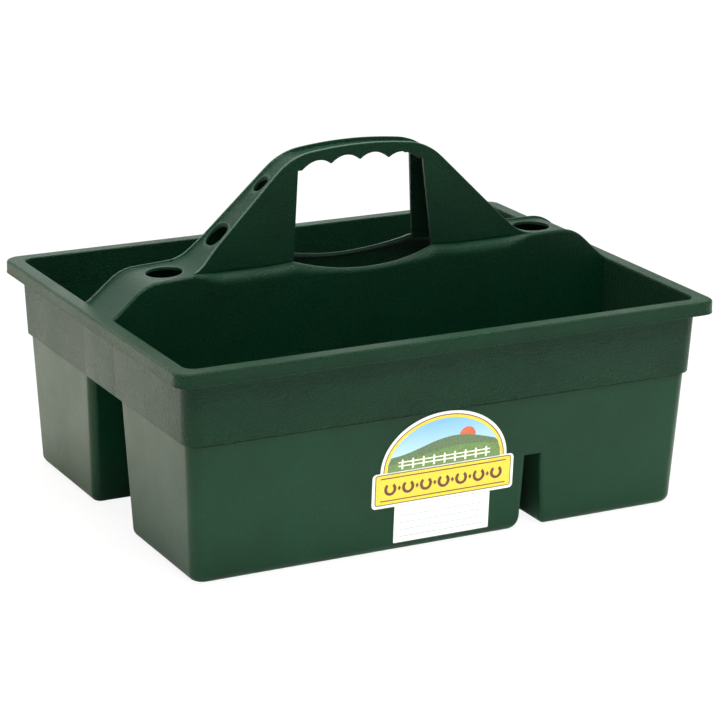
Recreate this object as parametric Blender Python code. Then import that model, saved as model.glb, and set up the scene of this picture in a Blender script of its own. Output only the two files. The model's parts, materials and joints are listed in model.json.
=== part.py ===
"""Grooming tote: one injection moulding of dark green polyethylene, with two paper labels.

The moulding is built as its named regions: rim, upper wall, two compartment walls, four wells,
two cross bridges, the two walls of the hollow divider, two tool rests, two handle arms and the
grip. On the real tote they are one skin. Here each is a closed solid of its own, a hair's
breadth from its neighbours, so that every hollow stays open.

Metres, +Z up. X runs along the tote and its long front face looks along -Y. The origin is on
the ground under the middle.
"""

import math

import bmesh
import bpy
from mathutils import Vector

# Overall sizes, read off the photograph
RIM_LENGTH = 0.4060
RIM_WIDTH = 0.3125
RIM_HEIGHT = 0.1510
TOTAL_HEIGHT = 0.2503
WALL = 0.0022
GAP = 0.0003

# Rim: a flat flange with a skirt that hangs from its outer edge
SKIRT_DEPTH = 0.0096
RIM_CORNER_RADIUS = 0.0104
RIM_EDGE_RADIUS = 0.0020
RIM_INNER_EDGE_RADIUS = 0.0010

# Upper wall, from the step up to the rim; insets are measured in from the rim's outer edge
STEP_HEIGHT = 0.0975
UPPER_INSET = 0.0110
UPPER_DRAFT = 0.043
UPPER_CORNER_RADIUS = 0.0105
STEP_EDGE_RADIUS = 0.0014

# Lower walls and wells
LOWER_INSET = 0.0135
LOWER_DRAFT = 0.051
LOWER_CORNER_RADIUS = 0.0090
SLOT_CORNER_RADIUS = 0.0062
NOTCH_CORNER_RADIUS = 0.0034
BOTTOM_EDGE_RADIUS = 0.0060

# Lengthwise slot under the divider, and the draft that the slot and the divider share
SLOT_HALF_WIDTH_AT_FLOOR = 0.0326
DIVIDER_DRAFT = 0.065

# Cross notch from front to back, nearer the right end
NOTCH_CENTRE = 0.0674
NOTCH_HEIGHT = 0.0545
NOTCH_TOP_WIDTH = 0.0112
NOTCH_LEFT_DRAFT = 0.038
NOTCH_RIGHT_DRAFT = 0.062
BRIDGE_EDGE_RADIUS = 0.0012

# Side view of the divider's top: from the rim up to a shoulder, then up the handle's slope
SHOULDER_RISE = 0.0235
SHOULDER_FALL = 0.0022
SHOULDER_FROM_RIM = 0.0248
SHOULDER_LENGTH = 0.0401
SHOULDER_RADIUS = 0.028
HANDLE_FOOT_RADIUS = 0.025
HANDLE_BEND_RADIUS = 0.044
HANDLE_BEND_SET_OUT = 0.0060
CROWN_SLOPE = math.radians(7.5)
CROWN_RADIUS = 0.295

# Divider wall tops and the handle's panels
REST_EDGE_INNER_RADIUS = 0.0008
REST_TAPER_LENGTH = 0.0280
REST_TAPER_BEYOND_FOOT = 0.0190
PANEL_SET_IN = 0.0080
GRIP_HALF_WIDTH = 0.0096
PANEL_EDGE_RADIUS = 0.0015
BEAD_WIDTH = 0.0024
BEAD_HEIGHT = 0.0008

# Finger scallops under the grip
SCALLOP_PITCH = 0.0220
SCALLOP_COUNT = 4
SCALLOP_DEPTH = 0.0042
SCALLOP_POINT_DROP = 0.0109
SCALLOP_END_FALL = 0.0036

# Hand opening between the arms, with a dished lower edge
GRIP_END_LENGTH = 0.0033
OPENING_SIDE_SLOPE = 0.089
DISH_DEPTH = 0.0092

# Tool holes: the shoulder's is round, and the slope's two are placed by their share of its run
SHOULDER_HOLE_RADIUS = 0.0127
SHOULDER_HOLE_FROM_FOOT = 0.0173
SLOPE_HOLE_SHARE = 0.302
SLOPE_HOLE_HALF_LENGTH = 0.0065
SLOPE_HOLE_MARGIN = 0.0016
TOP_HOLE_SHARE = 0.752
TOP_HOLE_HALF_LENGTH = 0.0042
TOP_HOLE_MARGIN = 0.0028
HOLE_SQUARENESS = 2.5
CUTTER_MARGIN = 0.010

# Labels on the front of the lower wall
LABEL_THICKNESS = 0.0003
LABEL_BELOW_STEP = 0.0023
LABEL_TO_NOTCH = 0.0095
ARCH_HALF_WIDTH = 0.0470
ARCH_RISE = 0.0372
BAND_HALF_WIDTH = 0.0540
BAND_HEIGHT = 0.0250
BAND_CORNER_RADIUS = 0.0030
TICKET_HALF_WIDTH = 0.0365
TICKET_CORNER_RADIUS = 0.0006

# How finely round stretches are divided
CORNER_STEPS = 5
BOTTOM_STEPS = 3
EDGE_STEPS = 2
ROUND_OVER_STEPS = 5
TAPER_STEPS = 6
FILLET_STEPS = 5
DISH_STEPS = 7
SCALLOP_STEPS = 7
HOLE_STEPS = 24
ARCH_STEPS = 20

SMALLEST_RADIUS = 0.0005


# Materials

def plain_material(name, colour, roughness):
    material = bpy.data.materials.new(name)
    material.use_nodes = True
    shader = material.node_tree.nodes["Principled BSDF"]
    shader.inputs["Base Color"].default_value = (*colour, 1.0)
    shader.inputs["Roughness"].default_value = roughness
    shader.inputs["Metallic"].default_value = 0.0
    material.diffuse_color = (*colour, 1.0)
    return material


def moulded_green(name):
    return plain_material(f"{name}_green_polyethylene", (0.020, 0.062, 0.040), 0.45)


def label_paper(name):
    return plain_material(f"{name}_paper", (0.80, 0.78, 0.66), 0.55)


# Mesh helpers

def add_object(name, bm, material, smooth_angle=30.0):
    bmesh.ops.remove_doubles(bm, verts=bm.verts, dist=1e-7)
    bmesh.ops.recalc_face_normals(bm, faces=bm.faces)
    mesh = bpy.data.meshes.new(name)
    bm.to_mesh(mesh)
    bm.free()
    mesh.materials.append(material)
    mesh.shade_smooth()
    mesh.set_sharp_from_angle(angle=math.radians(smooth_angle))
    obj = bpy.data.objects.new(name, mesh)
    bpy.context.scene.collection.objects.link(obj)
    return obj


def skin(loops, closed, folded=False):
    """Join loops of points into one skin: a ring when closed, else with a cap at each end.

    A folded loop goes up one face of a wall and back down the other, so its cap is a row of
    quads across the wall's thickness.
    """
    bm = bmesh.new()
    rows = [[bm.verts.new(point) for point in loop] for loop in loops]
    count = len(rows[0])
    pairs = list(zip(rows, rows[1:]))
    if closed:
        pairs.append((rows[-1], rows[0]))
    elif folded:
        for row in (rows[0], rows[-1]):
            for i in range(count // 2 - 1):
                bm.faces.new((row[i], row[i + 1], row[-2 - i], row[-1 - i]))
    else:
        bm.faces.new(rows[0])
        bm.faces.new(rows[-1])
    for lower, upper in pairs:
        for i in range(count):
            j = (i + 1) % count
            bm.faces.new((lower[i], lower[j], upper[j], upper[i]))
    return bm


def arc_angles(steps):
    return [0.5 * math.pi * i / steps for i in range(steps + 1)]


def rounded_rectangle(x0, x1, y0, y1, z, radii, inset=0.0):
    """Points round a rectangle, with a radius for each corner from (x0, y0) on, anticlockwise."""
    x0, x1, y0, y1 = x0 + inset, x1 - inset, y0 + inset, y1 - inset
    corners = ((x0, y0, 1, 1, math.pi), (x1, y0, -1, 1, 1.5 * math.pi),
               (x1, y1, -1, -1, 0.0), (x0, y1, 1, -1, 0.5 * math.pi))
    points = []
    for (x, y, to_x, to_y, start), radius in zip(corners, radii):
        r = max(radius - inset, SMALLEST_RADIUS)
        for angle in arc_angles(CORNER_STEPS):
            points.append((x + r * (to_x + math.cos(start + angle)),
                           y + r * (to_y + math.sin(start + angle)), z))
    return points


def frame_loop(inset, z, radius):
    """A loop round the whole tote, set in from the rim's outer edge."""
    half_x = RIM_LENGTH / 2 - inset
    half_y = RIM_WIDTH / 2 - inset
    return rounded_rectangle(-half_x, half_x, -half_y, half_y, z, [radius] * 4)


def fillet_polyline(vertices):
    """Points along straight runs joined by arcs; each vertex is (x, z, radius)."""
    points = [Vector(vertices[0][:2])]
    for before, corner, after in zip(vertices, vertices[1:], vertices[2:]):
        here = Vector(corner[:2])
        to_before = (Vector(before[:2]) - here).normalized()
        to_after = (Vector(after[:2]) - here).normalized()
        half_angle = to_before.angle(to_after) / 2
        radius = corner[2]
        centre = here + (to_before + to_after).normalized() * (radius / math.sin(half_angle))
        start = here + to_before * (radius / math.tan(half_angle)) - centre
        end = here + to_after * (radius / math.tan(half_angle)) - centre
        for i in range(FILLET_STEPS + 1):
            turned = start.slerp(end, i / FILLET_STEPS)
            points.append(centre + turned.normalized() * radius)
    points.append(Vector(vertices[-1][:2]))
    return points


def interpolate(points, x):
    """Height at x along points whose x falls steadily."""
    for a, b in zip(points, points[1:]):
        if b.x <= x <= a.x:
            share = (a.x - x) / (a.x - b.x)
            return a.y + share * (b.y - a.y)
    return points[0].y if x > points[0].x else points[-1].y


# Drafted faces of the moulding

def upper_inset(z):
    return UPPER_INSET - UPPER_DRAFT * (z - STEP_HEIGHT)


def lower_inset(z):
    return LOWER_INSET + LOWER_DRAFT * (STEP_HEIGHT - z)


def lower_half_length(z):
    return RIM_LENGTH / 2 - lower_inset(z)


def lower_half_width(z):
    return RIM_WIDTH / 2 - lower_inset(z)


def slot_half_width(z):
    return SLOT_HALF_WIDTH_AT_FLOOR - DIVIDER_DRAFT * z


def notch_reach(z, end):
    """How far the notch reaches from its centre to the left (end -1) or to the right (end +1)."""
    draft = NOTCH_LEFT_DRAFT if end < 0 else NOTCH_RIGHT_DRAFT
    return NOTCH_TOP_WIDTH / 2 + draft * (NOTCH_HEIGHT - z)


def divider_outer(z):
    return slot_half_width(z) + WALL


def crease_height():
    """Where the handle's panels rise out of the divider's round top edges."""
    return RIM_HEIGHT + SHOULDER_RISE


def panel_outer(x, z):
    """Half width over the handle's panels, which draw in upwards and flare out at the foot."""
    low, high = crease_height(), TOTAL_HEIGHT
    wide = divider_outer(low) - rest_edge_radius(x) - GAP
    return wide + (GRIP_HALF_WIDTH - wide) * (z - low) / (high - low)


def scallop_reach():
    return SCALLOP_PITCH * SCALLOP_COUNT / 2


def opening_edge(z):
    """Half length of the hand opening at a height; its sides lean out downwards."""
    return scallop_reach() + GRIP_END_LENGTH + OPENING_SIDE_SLOPE * (TOTAL_HEIGHT - z)


def opening_half_length():
    return opening_edge(crease_height())


def rim_plate_bottom():
    return RIM_HEIGHT - WALL


def upper_wall_top():
    return rim_plate_bottom() - GAP


def rim_inner_inset():
    return upper_inset(upper_wall_top()) + WALL


# Side view of the divider's top

def crown_vertex():
    return TOTAL_HEIGHT + CROWN_RADIUS * (1 / math.cos(CROWN_SLOPE) - 1)


def rim_inner_x():
    return RIM_LENGTH / 2 - rim_inner_inset()


def foot_x():
    """Where the handle's slope meets the shoulder."""
    return rim_inner_x() - SHOULDER_FROM_RIM - SHOULDER_LENGTH


def bend_x():
    """Where the handle's slope meets the crown's tangent."""
    return opening_edge(TOTAL_HEIGHT) + HANDLE_BEND_SET_OUT


def profile_points():
    bend_z = crown_vertex() - math.tan(CROWN_SLOPE) * bend_x()
    return fillet_polyline([
        (rim_inner_x(), RIM_HEIGHT - GAP, 0.0),
        (rim_inner_x() - SHOULDER_FROM_RIM, crease_height() - SHOULDER_FALL, SHOULDER_RADIUS),
        (foot_x(), crease_height(), HANDLE_FOOT_RADIUS),
        (bend_x(), bend_z, HANDLE_BEND_RADIUS),
        (0.0, crown_vertex(), CROWN_RADIUS),
        (-bend_x(), bend_z, 0.0)])


PROFILE = profile_points()


def profile_height(x):
    return interpolate(PROFILE, abs(x))


def dish_height(x):
    """Height of the dished lower edge of the hand opening, an arc over its width."""
    half = opening_half_length()
    radius = (half * half + DISH_DEPTH * DISH_DEPTH) / (2 * DISH_DEPTH)
    bottom = crease_height() - DISH_DEPTH
    return bottom + radius - math.sqrt(radius * radius - min(abs(x), half) ** 2)


def scallop_height(x):
    """Height of the grip's lower edge: shallow arcs between points."""
    reach = scallop_reach()
    share = min(abs(x) / reach, 1.0)
    points_line = TOTAL_HEIGHT - SCALLOP_POINT_DROP - SCALLOP_END_FALL * share * share
    if abs(x) >= reach:
        return points_line
    along = (abs(x) / SCALLOP_PITCH) % 1.0
    if SCALLOP_COUNT % 2:
        along = (along + 0.5) % 1.0
    return points_line + SCALLOP_DEPTH * (1 - (2 * along - 1) ** 2)


# Rim and walls

def make_rim():
    edge = RIM_EDGE_RADIUS
    inner_edge = RIM_INNER_EDGE_RADIUS
    inner = rim_inner_inset()
    bottom = RIM_HEIGHT - SKIRT_DEPTH
    section = [(0.0, bottom)]
    for angle in arc_angles(EDGE_STEPS):
        section.append((edge * (1 - math.cos(angle)), RIM_HEIGHT - edge * (1 - math.sin(angle))))
    for angle in arc_angles(EDGE_STEPS):
        section.append((inner - inner_edge * (1 - math.sin(angle)),
                        RIM_HEIGHT - inner_edge * (1 - math.cos(angle))))
    section += [(inner, rim_plate_bottom()), (WALL, rim_plate_bottom()), (WALL, bottom)]
    inner_radius = UPPER_CORNER_RADIUS - WALL
    loops = []
    for inset, z in section:
        share = inset / inner
        radius = RIM_CORNER_RADIUS + share * (inner_radius - RIM_CORNER_RADIUS)
        loops.append(frame_loop(inset, z, radius))
    return add_object("rim", skin(loops, closed=True), moulded_green("rim"))


def make_upper_wall():
    top = upper_wall_top()
    ledge_top = STEP_HEIGHT + WALL
    ledge_inner = LOWER_INSET + WALL
    outer = UPPER_CORNER_RADIUS
    inner = UPPER_CORNER_RADIUS - WALL
    lower = LOWER_CORNER_RADIUS - WALL
    edge = STEP_EDGE_RADIUS
    section = [(ledge_inner, STEP_HEIGHT, lower)]
    for angle in arc_angles(EDGE_STEPS):
        section.append((UPPER_INSET + edge * (1 - math.sin(angle)),
                        STEP_HEIGHT + edge * (1 - math.cos(angle)), outer))
    section += [(upper_inset(top), top, outer),
                (upper_inset(top) + WALL, top, inner),
                (upper_inset(ledge_top) + WALL, ledge_top, inner),
                (ledge_inner, ledge_top, lower)]
    loops = [frame_loop(inset, z, radius) for inset, z, radius in section]
    return add_object("upper_wall", skin(loops, closed=True), moulded_green("upper_wall"))


def compartment_loop(z, inset):
    """A loop round the front compartment below the step."""
    half_x = lower_half_length(z)
    radii = [LOWER_CORNER_RADIUS, LOWER_CORNER_RADIUS, SLOT_CORNER_RADIUS, SLOT_CORNER_RADIUS]
    return rounded_rectangle(-half_x, half_x, -lower_half_width(z), -slot_half_width(z), z,
                             radii, inset)


def make_compartment_wall(name):
    bottom = NOTCH_HEIGHT
    top = STEP_HEIGHT - GAP
    loops = [compartment_loop(bottom, 0.0), compartment_loop(top, 0.0),
             compartment_loop(top, WALL), compartment_loop(bottom, WALL)]
    return add_object(name, skin(loops, closed=True), moulded_green(name))


# Wells

def well_loop(side, end, z, inset):
    """A loop round one well; side is -1 front or +1 rear, end is -1 left or +1 right."""
    near, far = slot_half_width(z), lower_half_width(z)
    y0, y1 = (-far, -near) if side < 0 else (near, far)
    notch = NOTCH_CENTRE + end * notch_reach(z, end)
    x0, x1 = (-lower_half_length(z), notch) if end < 0 else (notch, lower_half_length(z))
    radii = []
    for at_x, at_y in ((-1, -1), (1, -1), (1, 1), (-1, 1)):
        if at_x != end:
            radii.append(NOTCH_CORNER_RADIUS)
        elif at_y == side:
            radii.append(LOWER_CORNER_RADIUS)
        else:
            radii.append(SLOT_CORNER_RADIUS)
    return rounded_rectangle(x0, x1, y0, y1, z, radii, inset)


def make_well(name, side, end):
    top = NOTCH_HEIGHT - GAP
    outer = BOTTOM_EDGE_RADIUS
    inner = BOTTOM_EDGE_RADIUS - WALL
    loops = []
    for angle in arc_angles(BOTTOM_STEPS):
        z = outer * (1 - math.cos(angle))
        loops.append(well_loop(side, end, z, outer * (1 - math.sin(angle))))
    loops.append(well_loop(side, end, top, 0.0))
    loops.append(well_loop(side, end, top, WALL))
    for angle in reversed(arc_angles(BOTTOM_STEPS)):
        z = outer - inner * math.cos(angle)
        loops.append(well_loop(side, end, z, outer - inner * math.sin(angle)))
    return add_object(name, skin(loops, closed=False), moulded_green(name))


def make_cross_bridge(name):
    """The lid over the cross notch, between the front compartment's two long walls."""
    low, high = NOTCH_HEIGHT, NOTCH_HEIGHT + WALL
    half = NOTCH_TOP_WIDTH / 2 + WALL
    edge = BRIDGE_EDGE_RADIUS
    section = [(-half, low), (half, low)]
    for angle in arc_angles(EDGE_STEPS):
        section.append((half - edge * (1 - math.cos(angle)), high - edge * (1 - math.sin(angle))))
    for angle in reversed(arc_angles(EDGE_STEPS)):
        section.append((edge * (1 - math.cos(angle)) - half, high - edge * (1 - math.sin(angle))))
    ends = []
    for clear_y in (lambda z: slot_half_width(z) + WALL + GAP,
                    lambda z: lower_half_width(z) - WALL - GAP):
        ends.append([(x, -clear_y(z), z) for x, z in section])
    return add_object(name, skin(ends, closed=False), moulded_green(name))


# Divider

def taper_end():
    """Where the strip has narrowed to the handle's full set-in, a little way up the slope."""
    return foot_x() - REST_TAPER_BEYOND_FOOT


def taper_start():
    """Where the strip on the shoulder starts to narrow towards the handle."""
    return taper_end() + REST_TAPER_LENGTH


def rest_edge_radius(x):
    """Radius that rounds the divider wall's top over to the strip or to the panel."""
    beside_strip = REST_EDGE_INNER_RADIUS + WALL
    under_panel = max(PANEL_SET_IN - GAP, beside_strip)
    share = (taper_start() - abs(x)) / REST_TAPER_LENGTH
    share = min(max(share, 0.0), 1.0)
    eased = share * share * (3 - 2 * share)
    return beside_strip + eased * (under_panel - beside_strip)


def divider_top(x):
    return min(profile_height(x), crease_height())


def divider_path(x, inset):
    """Points up the divider's wall and over its round top, as (y, z) from the middle plane."""
    top = divider_top(x)
    radius = rest_edge_radius(x)
    start = top - radius
    limit = min(dish_height(x), top) if abs(x) < opening_half_length() else top
    turn = math.asin(max(min((limit - start) / radius, 1.0), 0.0))
    low = min(start, limit) - WALL
    run = WALL + radius * turn
    centre_y = divider_outer(start) - radius
    points = []
    for i in range(ROUND_OVER_STEPS + 1):
        z = low + run * i / ROUND_OVER_STEPS
        if z <= start:
            points.append((divider_outer(z) - inset, z))
        else:
            angle = (z - start) / radius
            points.append((centre_y + (radius - inset) * math.cos(angle),
                           start + (radius - inset) * math.sin(angle)))
    return points


def divider_section(x):
    """The front wall's closed section at x, with its ends stepped over the upper wall's ledge."""
    ledge_clear = STEP_HEIGHT + WALL + GAP
    low = [STEP_HEIGHT, ledge_clear - GAP / 2, ledge_clear]
    outside = [(divider_outer(z), z) for z in low] + divider_path(x, 0.0)
    inside = [(divider_outer(z) - WALL, z) for z in low] + divider_path(x, WALL)
    inside.reverse()
    points = []
    for y, z in outside + inside:
        reach = RIM_LENGTH / 2 - WALL - GAP
        if z < ledge_clear - GAP / 4:
            reach -= LOWER_INSET
        else:
            reach -= upper_inset(min(z, upper_wall_top()))
        points.append((max(min(x, reach), -reach), -y, z))
    return points


def spread(start, end, steps):
    return [start + (end - start) * i / steps for i in range(1, steps + 1)]


def taper_stations():
    return [taper_start(), foot_x()] + spread(taper_start(), taper_end(), TAPER_STEPS)


def divider_stations():
    foot = foot_x()
    shoulder = [p.x for p in PROFILE if foot < p.x < rim_inner_x()]
    half = [rim_inner_x()] + shoulder + taper_stations()
    half += spread(taper_end(), opening_half_length(), 2)
    half += spread(opening_half_length(), 0.0, DISH_STEPS)
    half = sorted(set(half), reverse=True)
    return half + [-x for x in reversed(half[:-1])]


def make_divider_wall(name):
    loops = [divider_section(x) for x in divider_stations()]
    return add_object(name, skin(loops, closed=False, folded=True), moulded_green(name))


def strip_half_width(x):
    """Half width of the tool rest's strip, between the round tops of the two walls."""
    radius = rest_edge_radius(x)
    return divider_outer(divider_top(x) - radius) - radius - GAP


def make_tool_rest(name):
    """The strip on the right shoulder, from the rim to the handle's foot."""
    rim_x = rim_inner_x() - GAP
    foot = foot_x() + GAP
    stations = [rim_x, foot] + [x for x in taper_stations() if x > foot]
    stations += [p.x for p in PROFILE if foot < p.x < rim_x]
    loops = []
    for x in sorted(set(stations), reverse=True):
        top = profile_height(x) - BEAD_HEIGHT
        half = strip_half_width(x)
        bottom = top - WALL
        section = [(-half, top), (half, top), (half, bottom), (-half, bottom)]
        loops.append([(x, y, z) for y, z in section])
    rest = add_object(name, skin(loops, closed=False), moulded_green(name))
    radius = SHOULDER_HOLE_RADIUS
    cut_hole(rest, f"{name}_hole", foot_x() + SHOULDER_HOLE_FROM_FOOT, radius, radius)
    return rest


# Handle

def channel_section(x, bottom, top, recess=BEAD_HEIGHT):
    """Cross-section of the handle at x: an upside-down channel with a bead along each edge."""
    edge = PANEL_EDGE_RADIUS
    side = [(panel_outer(x, bottom), bottom), (panel_outer(x, top - edge), top - edge)]
    for angle in arc_angles(EDGE_STEPS)[1:]:
        side.append((panel_outer(x, top - edge) - edge * (1 - math.cos(angle)),
                     top - edge * (1 - math.sin(angle))))
    floor = top - recess
    bead = panel_outer(x, top) - BEAD_WIDTH
    side += [(bead, top), (bead - recess, floor)]
    under = floor - WALL
    chamfer = min(WALL, (under - bottom) / 2)
    inside = [(panel_outer(x, under) - WALL - chamfer, under),
              (panel_outer(x, under - chamfer) - WALL, under - chamfer),
              (panel_outer(x, bottom) - WALL, bottom)]
    outside = side + [(-y, z) for y, z in reversed(side)]
    underside = [(-y, z) for y, z in reversed(inside)] + inside
    return [(x, y, z) for y, z in outside + underside]


def make_arm(name):
    """The handle's right side, from its foot on the shoulder to the hand opening."""
    bottom = crease_height() - WALL
    inner_x = opening_edge(TOTAL_HEIGHT)
    flare = [x for x in taper_stations() if x < foot_x()]
    bend = [p.x for p in PROFILE if inner_x < p.x < foot_x()]
    stations = sorted(set([foot_x(), inner_x] + flare + bend), reverse=True)
    lean_from = opening_half_length() + WALL
    loops = []
    for x in stations:
        loop = channel_section(x, bottom, profile_height(x))
        if x < lean_from:
            share = (lean_from - x) / (lean_from - inner_x)
            loop = [(px + share * (opening_edge(pz) - inner_x), py, pz) for px, py, pz in loop]
        loops.append(loop)
    arm = add_object(name, skin(loops, closed=False), moulded_green(name))
    for hole_name, share, half_length, margin in (
            ("lower", SLOPE_HOLE_SHARE, SLOPE_HOLE_HALF_LENGTH, SLOPE_HOLE_MARGIN),
            ("upper", TOP_HOLE_SHARE, TOP_HOLE_HALF_LENGTH, TOP_HOLE_MARGIN)):
        x = foot_x() + share * (bend_x() - foot_x())
        half_width = panel_outer(x, profile_height(x)) - BEAD_WIDTH - margin
        cut_hole(arm, f"{name}_{hole_name}_hole", x, half_length, half_width)
    return arm


def make_grip():
    reach = scallop_reach()
    count = SCALLOP_COUNT * SCALLOP_STEPS
    end_x = opening_edge(TOTAL_HEIGHT) - GAP
    stations = [-end_x] + [-reach + 2 * reach * i / count for i in range(count + 1)] + [end_x]
    loops = []
    for x in stations:
        loop = channel_section(x, scallop_height(x), profile_height(x))
        if abs(x) > reach:
            loop = [(math.copysign(opening_edge(pz) - GAP, x), py, pz) for _, py, pz in loop]
        loops.append(loop)
    return add_object("grip", skin(loops, closed=False), moulded_green("grip"))


def cut_hole(target, name, centre, half_length, half_width):
    """Cut a rounded hole straight down, as the mould's core pulls out."""
    power = 2.0 / (2.0 if half_length == half_width else HOLE_SQUARENESS)
    outline = []
    for i in range(HOLE_STEPS):
        angle = 2 * math.pi * i / HOLE_STEPS
        cos, sin = math.cos(angle), math.sin(angle)
        outline.append((centre + half_length * math.copysign(abs(cos) ** power, cos),
                        half_width * math.copysign(abs(sin) ** power, sin)))
    low = profile_height(centre + half_length) - CUTTER_MARGIN
    high = profile_height(centre - half_length) + CUTTER_MARGIN
    loops = [[(x, y, z) for x, y in outline] for z in (low, high)]
    cutter = add_object(name, skin(loops, closed=False), target.data.materials[0])
    cutter.parent = target
    cutter.hide_render = True
    cutter.display_type = "WIRE"
    modifier = target.modifiers.new("tool_hole", "BOOLEAN")
    modifier.operation = "DIFFERENCE"
    modifier.solver = "EXACT"
    modifier.object = cutter


# Labels

def on_front_face(x, z, stand_off):
    return (x, -lower_half_width(z) - stand_off, z)


def make_label(name, outline):
    """A sheet of paper that lies on the front face of the lower wall."""
    loops = [[on_front_face(x, z, stand_off) for x, z in outline]
             for stand_off in (GAP, GAP + LABEL_THICKNESS)]
    return add_object(name, skin(loops, closed=False), label_paper(name))


def corner_arc(x, z, to_x, to_z, radius):
    """Points round one corner of a sheet; to_x and to_z point into the sheet."""
    points = []
    for angle in arc_angles(EDGE_STEPS):
        points.append((x + to_x * radius * (1 - math.cos(angle)),
                       z + to_z * radius * (1 - math.sin(angle))))
    return points


def band_top():
    return STEP_HEIGHT - LABEL_BELOW_STEP - ARCH_RISE


def band_bottom():
    return band_top() - BAND_HEIGHT


def label_centre():
    notch = notch_reach(band_bottom(), -1)
    return NOTCH_CENTRE - notch - LABEL_TO_NOTCH - BAND_HALF_WIDTH


def make_picture_label():
    """A die-cut label: an arch over a wider band."""
    low, high, half, radius = band_bottom(), band_top(), BAND_HALF_WIDTH, BAND_CORNER_RADIUS
    outline = list(reversed(corner_arc(half, low, -1, 1, radius)))
    outline += corner_arc(half, high, -1, -1, radius)
    for i in range(ARCH_STEPS + 1):
        angle = math.pi * i / ARCH_STEPS
        outline.append((ARCH_HALF_WIDTH * math.cos(angle), high + ARCH_RISE * math.sin(angle)))
    outline += reversed(corner_arc(-half, high, 1, -1, radius))
    outline += corner_arc(-half, low, 1, 1, radius)
    return make_label("picture_label", outline)


def make_ticket_label():
    """A plain ticket under the die-cut label, down to the well's round bottom edge."""
    low, high = BOTTOM_EDGE_RADIUS + GAP, band_bottom() - GAP
    half, radius = TICKET_HALF_WIDTH, TICKET_CORNER_RADIUS
    outline = list(reversed(corner_arc(half, low, -1, 1, radius)))
    outline += corner_arc(half, high, -1, -1, radius)
    outline += reversed(corner_arc(-half, high, 1, -1, radius))
    outline += corner_arc(-half, low, 1, 1, radius)
    return make_label("ticket_label", outline)


# Assembly

def place(obj, tote, x=0.0, turned=False):
    """Put a piece on the tote at x; a rear or left copy is the front or right one turned round."""
    obj.parent = tote
    obj.location = (x, 0.0, 0.0)
    obj.rotation_euler = (0.0, 0.0, math.pi if turned else 0.0)


def build():
    for obj in list(bpy.data.objects):
        bpy.data.objects.remove(obj, do_unlink=True)
    tote = bpy.data.objects.new("grooming_tote", None)
    bpy.context.scene.collection.objects.link(tote)
    place(make_rim(), tote)
    place(make_upper_wall(), tote)
    for side_name, rear in (("front", False), ("rear", True)):
        place(make_compartment_wall(f"{side_name}_compartment_wall"), tote, turned=rear)
        place(make_cross_bridge(f"{side_name}_cross_bridge"), tote, NOTCH_CENTRE, rear)
        place(make_divider_wall(f"{side_name}_divider_wall"), tote, turned=rear)
        for end_name, end in (("left", -1), ("right", 1)):
            name = f"{side_name}_{end_name}_well"
            place(make_well(name, 1 if rear else -1, end), tote)
    for end_name, left in (("left", True), ("right", False)):
        place(make_tool_rest(f"{end_name}_tool_rest"), tote, turned=left)
        place(make_arm(f"{end_name}_handle_arm"), tote, turned=left)
    place(make_grip(), tote)
    place(make_picture_label(), tote, label_centre())
    place(make_ticket_label(), tote, label_centre())


build()
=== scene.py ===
"""Grooming tote: one injection moulding of dark green polyethylene, with two paper labels.

The skin of the moulding is shown without seams, as a rim, an upper wall, two bins and a handle
with its divider, which meet on the real tote's own creases. The two labels are flat inlays.

Metres, +Z up. X runs along the tote, and its long front face looks along -Y.
"""

import json
from math import atan2, copysign, cos, pi, radians, sin, sqrt, tan

import bmesh
import bpy
from mathutils import Matrix, Vector

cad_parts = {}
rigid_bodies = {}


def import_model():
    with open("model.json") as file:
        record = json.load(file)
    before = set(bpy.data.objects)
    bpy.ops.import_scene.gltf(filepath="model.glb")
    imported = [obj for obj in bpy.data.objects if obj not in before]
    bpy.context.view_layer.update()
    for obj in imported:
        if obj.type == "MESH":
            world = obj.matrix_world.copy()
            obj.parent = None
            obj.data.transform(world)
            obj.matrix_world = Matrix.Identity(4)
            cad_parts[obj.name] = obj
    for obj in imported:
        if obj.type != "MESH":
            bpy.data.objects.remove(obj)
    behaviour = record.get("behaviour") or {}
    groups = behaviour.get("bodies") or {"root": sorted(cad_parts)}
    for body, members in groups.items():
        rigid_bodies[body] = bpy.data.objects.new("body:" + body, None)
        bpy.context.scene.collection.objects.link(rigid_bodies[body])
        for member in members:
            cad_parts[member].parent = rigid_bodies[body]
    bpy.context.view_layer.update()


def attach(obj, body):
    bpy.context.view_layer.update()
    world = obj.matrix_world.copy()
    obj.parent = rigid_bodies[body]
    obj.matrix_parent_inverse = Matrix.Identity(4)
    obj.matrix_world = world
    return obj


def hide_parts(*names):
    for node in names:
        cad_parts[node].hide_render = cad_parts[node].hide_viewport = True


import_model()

# Overall sizes; the rim is 406.0 mm long and 312.5 mm wide
HALF_LENGTH = 0.20300
HALF_WIDTH = 0.15625
RIM_HEIGHT = 0.1510
TOTAL_HEIGHT = 0.2502
WALL = 0.0022

# Rim: a flat flange with a hanging skirt that ends in a thin lip
SKIRT_DEPTH = 0.0096
SKIRT_LIP = 0.0005
RIM_CORNER_RADIUS = 0.0104
RIM_EDGE_RADIUS = 0.0020
RIM_INNER_EDGE_RADIUS = 0.0010

# Upper wall, down to the step; insets are measured in from the rim's outer edge
STEP_HEIGHT = 0.0975
UPPER_INSET = 0.0110
UPPER_DRAFT = 0.043
UPPER_CORNER_RADIUS = 0.0105
STEP_EDGE_RADIUS = 0.0008
SINK_MARK_WIDTH = 0.0011
SINK_MARK_DEPTH = 0.00012
SINK_MARK_REACH = 0.0012
SINK_MARK_LEVEL = 0.12

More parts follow.
